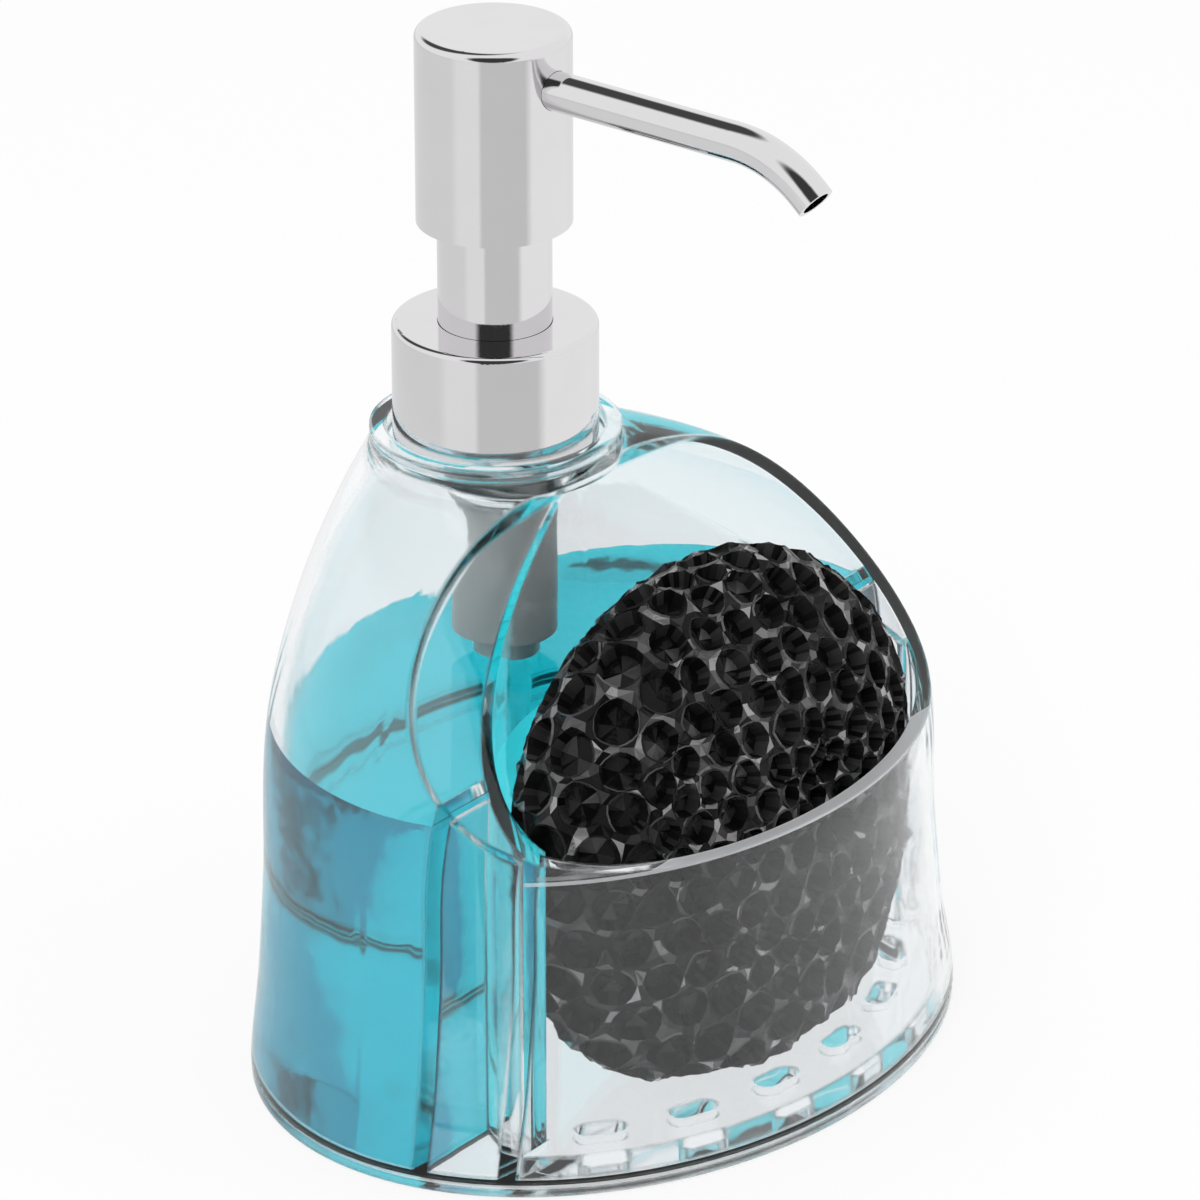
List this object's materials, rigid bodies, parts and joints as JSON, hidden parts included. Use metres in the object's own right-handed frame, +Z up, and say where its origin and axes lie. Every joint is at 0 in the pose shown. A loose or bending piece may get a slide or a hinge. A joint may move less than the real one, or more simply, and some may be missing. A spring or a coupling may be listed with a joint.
{
  "type": "soap pump caddy",
  "caption": "Clear oval soap dispenser with a chrome press pump at the back and an open, drained front pocket that holds a black mesh scrubber.",
  "frame": {"origin": "middle of the base oval, on the surface that the caddy stands on", "axes": "+Z up along the pump axis, the front of the pocket and the spout look along -Y, +X to the right seen from the front"},
  "size_m": [0.1268, 0.1004, 0.1613],
  "materials": {
    "clear_plastic": "clear moulded plastic, polished",
    "blue_soap": "clear cyan liquid soap",
    "black_net": "glossy black nylon net",
    "black_sponge": "open sponge",
    "chrome_plate": "polished chrome plate",
    "white_plastic": "natural white moulding",
    "milky_plastic": "milky translucent moulding",
    "soft_seal": "soft white seal",
    "steel_ball": "polished ball",
    "spring_steel": "drawn wire"
  },
  "bodies": {
    "bottle": {"body_shell": "clear_plastic", "base_plate": "clear_plastic", "soap_fill": "blue_soap"},
    "scrubber": {"scrubber_net": "black_net", "scrubber_sponge": "black_sponge"},
    "engine": {"pump_housing": "milky_plastic", "chaplet": "white_plastic", "neck_gasket": "soft_seal", "dip_tube": "milky_plastic", "return_spring": "spring_steel"},
    "closure": {"closure_nut": "white_plastic", "collar_shell": "chrome_plate", "chimney_sleeve": "chrome_plate"},
    "plunger": {"piston_seat": "white_plastic"},
    "piston": {"piston_seal": "soft_seal"},
    "head": {"pump_head": "chrome_plate", "head_insert": "white_plastic", "spout": "chrome_plate", "piston_rod": "white_plastic"},
    "inlet": {"inlet_ball": "steel_ball"}
  },
  "joints": [
    {"name": "pump_rise", "type": "slide", "parent": "bottle", "child": "engine", "axis": [0, 0, 1], "range_m": [0, 0.0063]},
    {"name": "collar_turn", "type": "hinge", "parent": "engine", "child": "closure", "pos_m": [0, 0.0216, 0.1], "axis": [0, 0, 1], "range_deg": [0, 540]},
    {"name": "pump_press", "type": "slide", "parent": "engine", "child": "plunger", "axis": [0, 0, -1], "range_m": [0, 0.013], "stiffness_N_per_m": 300, "springref_m": -0.02, "deforming": ["return_spring"]},
    {"name": "head_swivel", "type": "hinge", "parent": "plunger", "child": "head", "pos_m": [0, 0.0216, 0.15], "axis": [0, 0, 1], "continuous": true},
    {"name": "piston_slip", "type": "slide", "parent": "plunger", "child": "piston", "axis": [0, 0, 1], "range_m": [0, 0.001]},
    {"name": "ball_lift", "type": "slide", "parent": "engine", "child": "inlet", "axis": [0, 0, 1], "range_m": [0, 0.0012]},
    {"name": "scrubber_lift", "type": "slide", "parent": "bottle", "child": "scrubber", "axis": [0, 0, 1], "range_m": [0, 0.047]}
  ],
  "couplings": [
    {"joint": "collar_turn", "follows": "pump_rise", "rad_per_m": 1496}
  ]
}
